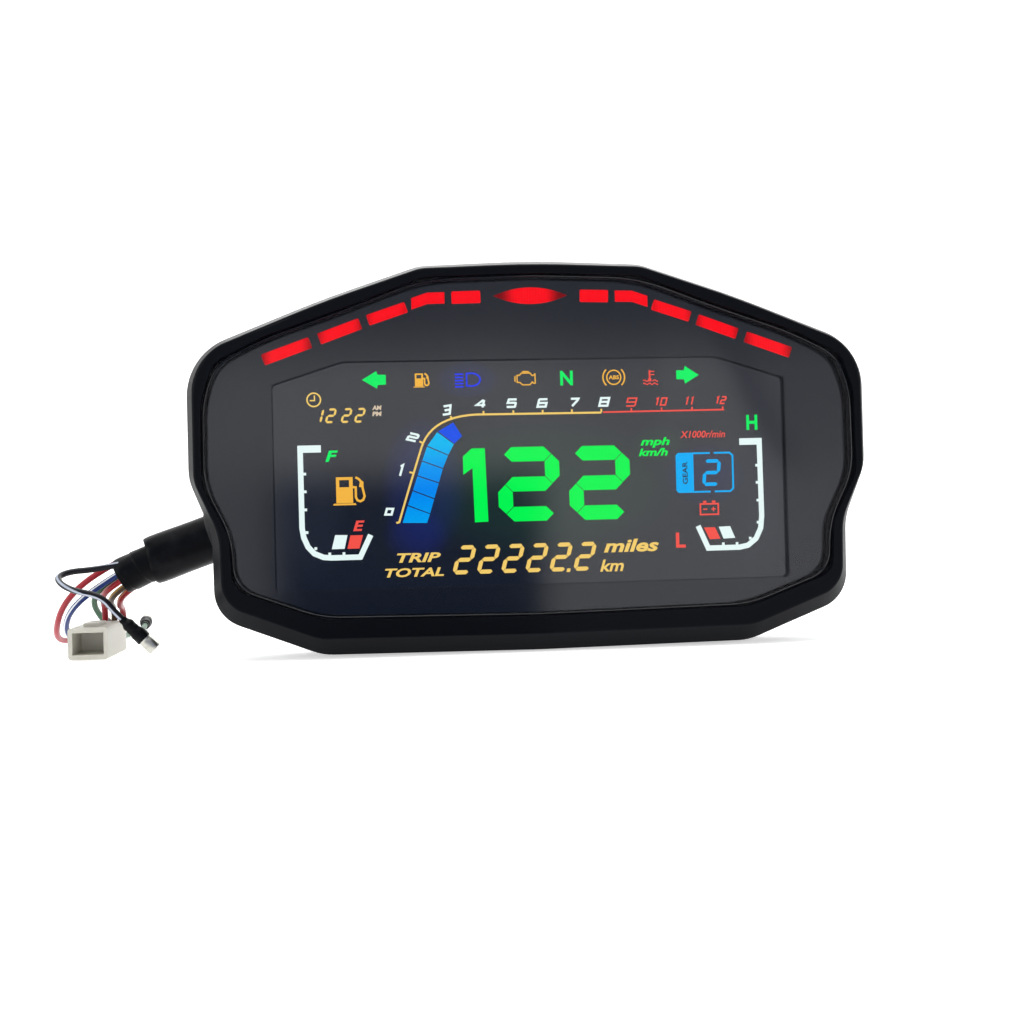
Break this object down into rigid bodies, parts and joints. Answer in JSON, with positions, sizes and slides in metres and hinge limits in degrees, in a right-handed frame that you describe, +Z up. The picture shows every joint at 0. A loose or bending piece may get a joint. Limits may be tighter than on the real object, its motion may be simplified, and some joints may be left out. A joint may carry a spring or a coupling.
{
  "type": "motorcycle instrument cluster",
  "caption": "Motorcycle instrument cluster: sealed black housing with a colour segment display, shift lights, rear push buttons and a side harness.",
  "frame": {"origin": "on the supporting surface under the middle of the housing, midway between the face and the mounting bosses", "axes": "+Z up, the display faces -Y, +X is the rider's right"},
  "size_m": [0.2414, 0.116, 0.1085],
  "materials": {
    "bezel_black": "fine-grained satin black moulding",
    "cover_black": "textured black moulding",
    "lens_clear": "clear hard-coated polycarbonate, glossy",
    "mask_smoke": "dark smoke printed sheet",
    "seal_rubber": "black silicone rubber",
    "shift_red": "lit red light window",
    "white_plastic": "white reflector moulding",
    "housing_grey": "dark grey moulding",
    "lcd_glass": "dark liquid crystal glass with polariser",
    "film_dark": "printed negative film, black with coloured segments",
    "led_body": "white package with yellow phosphor",
    "tinned_pins": "tinned metal",
    "board_green": "green solder mask on glass laminate",
    "chip_black": "black epoxy package",
    "can_aluminium": "drawn aluminium can",
    "ferrite_grey": "ferrite grey",
    "crystal_steel": "pressed steel can",
    "chip_ceramic": "ceramic chip parts",
    "nylon_white": "natural nylon",
    "button_rubber": "soft black silicone",
    "plunger_black": "black plastic",
    "screw_black": "black oxide steel",
    "brass": "knurled brass",
    "membrane_grey": "grey breathable membrane",
    "sleeve_pvc": "glossy black vinyl tube",
    "tape_black": "black vinyl tape",
    "core_black": "wrapped wire bundle",
    "wire_red": "red vinyl insulation",
    "wire_blue": "blue vinyl insulation with a white tracer",
    "wire_green": "green vinyl insulation",
    "wire_black": "black vinyl insulation with a white tracer",
    "wire_brown": "brown vinyl insulation with a yellow tracer",
    "wire_dark_red": "dark red vinyl insulation with an orange tracer",
    "crimp_black": "black heat-shrink sleeve",
    "socket_tin": "tin-plated brass socket",
    "display_white": "lit cool white display segments",
    "display_amber": "lit amber display segments",
    "display_green": "lit green display segments",
    "display_blue": "lit blue display segments",
    "display_red": "lit red display segments"
  },
  "bodies": {
    "cluster": {"front_bezel": "bezel_black", "lens": "lens_clear", "lens_seal": "seal_rubber", "face_mask": "mask_smoke", "shift_windows_left": "shift_red", "shift_window_centre": "shift_red", "shift_windows_right": "shift_red", "shift_light_housing": "housing_grey", "shift_leds": "led_body", "lcd_front_glass": "lcd_glass", "lcd_rear_glass": "lcd_glass", "colour_film": "film_dark", "diffuser": "white_plastic", "light_box": "white_plastic", "backlight_leds": "led_body", "lcd_pins": "tinned_pins", "main_board": "board_green", "microcontroller": "chip_black", "display_driver": "chip_black", "voltage_regulator": "chip_black", "capacitors": "can_aluminium", "power_inductor": "ferrite_grey", "crystal": "crystal_steel", "chip_parts": "chip_ceramic", "wire_header": "nylon_white", "header_plug": "nylon_white", "harness_core": "core_black", "mode_switch": "plunger_black", "adjust_switch": "plunger_black", "rear_cover": "cover_black", "cover_seal": "seal_rubber", "cover_screws": "screw_black", "board_screws": "screw_black", "mount_inserts": "brass", "breather": "membrane_grey", "cable_boot": "seal_rubber", "harness_sleeve": "sleeve_pvc", "tape_wrap": "tape_black", "wire_red": "wire_red", "wire_blue_white": "wire_blue", "wire_green": "wire_green", "wire_black_white": "wire_black", "wire_sensor_red": "wire_red", "wire_sensor_brown": "wire_brown", "wire_sensor_dark_red": "wire_dark_red", "sensor_connector": "nylon_white", "red_crimp_sleeve": "crimp_black", "red_socket": "socket_tin", "blue_white_crimp_sleeve": "crimp_black", "blue_white_socket": "socket_tin", "green_crimp_sleeve": "crimp_black", "green_socket": "socket_tin", "black_white_crimp_sleeve": "crimp_black", "black_white_socket": "socket_tin"},
    "mode_button": {"mode_button": "button_rubber", "mode_plunger": "plunger_black"},
    "adjust_button": {"adjust_button": "button_rubber", "adjust_plunger": "plunger_black"}
  },
  "joints": [
    {"name": "mode_press", "type": "slide", "parent": "cluster", "child": "mode_button", "axis": [0, -1, 0], "range_m": [0, 0.0008], "stiffness_N_per_m": 3000, "springref_m": -0.0004},
    {"name": "adjust_press", "type": "slide", "parent": "cluster", "child": "adjust_button", "axis": [0, -1, 0], "range_m": [0, 0.0008], "stiffness_N_per_m": 3000, "springref_m": -0.0004}
  ]
}
